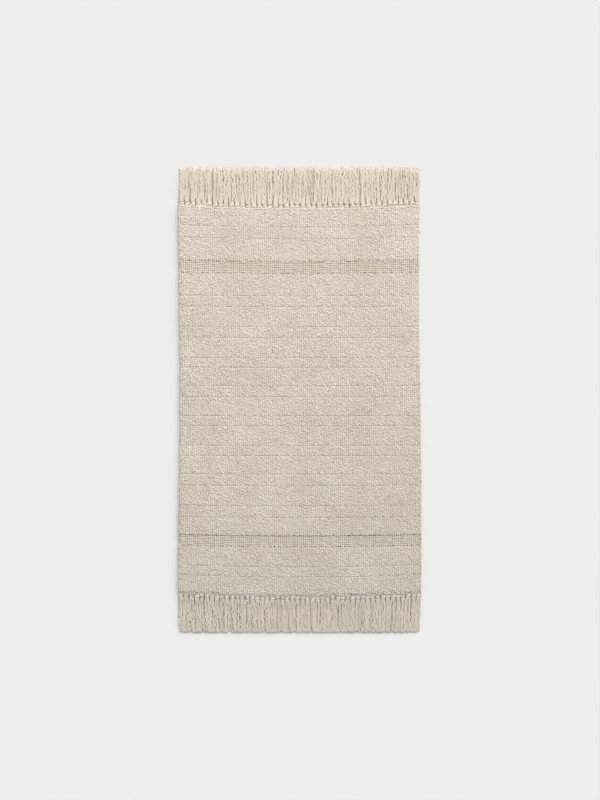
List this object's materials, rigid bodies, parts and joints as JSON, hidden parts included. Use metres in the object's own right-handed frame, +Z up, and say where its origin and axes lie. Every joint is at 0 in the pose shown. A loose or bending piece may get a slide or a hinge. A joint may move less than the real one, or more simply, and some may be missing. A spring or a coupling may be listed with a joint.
{
  "type": "bath mat",
  "caption": "Rectangular cream cotton bath mat: dense cut pile in wide and narrow courses, a flat-woven band near each end, and a row of knots with a straight-cut fringe at both ends.",
  "frame": {"origin": "on the underside, at the middle of the mat's outer box, fringes included", "axes": "+Z up out of the pile, +Y along the mat towards its head end, +X across the mat"},
  "size_m": [0.6, 1.165, 0.013],
  "materials": {
    "ground_cotton": "plain-woven undyed cotton, matt",
    "pile_cotton": "dense nubbly cut pile of cream cotton, matt",
    "band_cotton": "flat-woven heavy cotton yarn, matt",
    "knot_cotton": "twisted cream cotton yarn, tightly knotted",
    "fringe_cotton": "loose twisted cream cotton strands, soft sheen"
  },
  "bodies": {
    "foot_half": {"flat_band_foot": "band_cotton", "ground_cloth_foot": "ground_cotton", "header_strip_foot": "band_cotton", "knots_foot_far_left": "knot_cotton", "knots_foot_far_right": "knot_cotton", "knots_foot_mid_left": "knot_cotton", "knots_foot_mid_right": "knot_cotton", "pile_centre_09": "pile_cotton", "pile_centre_10": "pile_cotton", "pile_centre_11": "pile_cotton", "pile_centre_12": "pile_cotton", "pile_centre_13": "pile_cotton", "pile_centre_14": "pile_cotton", "pile_centre_15": "pile_cotton", "pile_centre_16": "pile_cotton", "pile_centre_17": "pile_cotton", "pile_foot_01": "pile_cotton", "pile_foot_02": "pile_cotton", "pile_foot_03": "pile_cotton", "selvedge_left_foot": "ground_cotton", "selvedge_right_foot": "ground_cotton"},
    "head_half": {"flat_band_head": "band_cotton", "ground_cloth_head": "ground_cotton", "header_strip_head": "band_cotton", "knots_head_far_left": "knot_cotton", "knots_head_far_right": "knot_cotton", "knots_head_mid_left": "knot_cotton", "knots_head_mid_right": "knot_cotton", "pile_centre_01": "pile_cotton", "pile_centre_02": "pile_cotton", "pile_centre_03": "pile_cotton", "pile_centre_04": "pile_cotton", "pile_centre_05": "pile_cotton", "pile_centre_06": "pile_cotton", "pile_centre_07": "pile_cotton", "pile_centre_08": "pile_cotton", "pile_head_01": "pile_cotton", "pile_head_02": "pile_cotton", "pile_head_03": "pile_cotton", "selvedge_left_head": "ground_cotton", "selvedge_right_head": "ground_cotton"},
    "head_fringe": {"fringe_head_far_left": "fringe_cotton", "fringe_head_far_right": "fringe_cotton", "fringe_head_mid_left": "fringe_cotton", "fringe_head_mid_right": "fringe_cotton"},
    "foot_fringe": {"fringe_foot_far_left": "fringe_cotton", "fringe_foot_far_right": "fringe_cotton", "fringe_foot_mid_left": "fringe_cotton", "fringe_foot_mid_right": "fringe_cotton"}
  },
  "joints": [
    {"name": "middle_fold", "type": "hinge", "parent": "foot_half", "child": "head_half", "pos_m": [0, 0.0075, 0.0133], "axis": [1, 0, 0], "range_deg": [0, 170]},
    {"name": "head_fringe_lift", "type": "hinge", "parent": "head_half", "child": "head_fringe", "pos_m": [0, 0.4953, 0.003], "axis": [1, 0, 0], "range_deg": [0, 90]},
    {"name": "foot_fringe_lift", "type": "hinge", "parent": "foot_half", "child": "foot_fringe", "pos_m": [0, -0.5028, 0.003], "axis": [-1, 0, 0], "range_deg": [0, 90]}
  ]
}
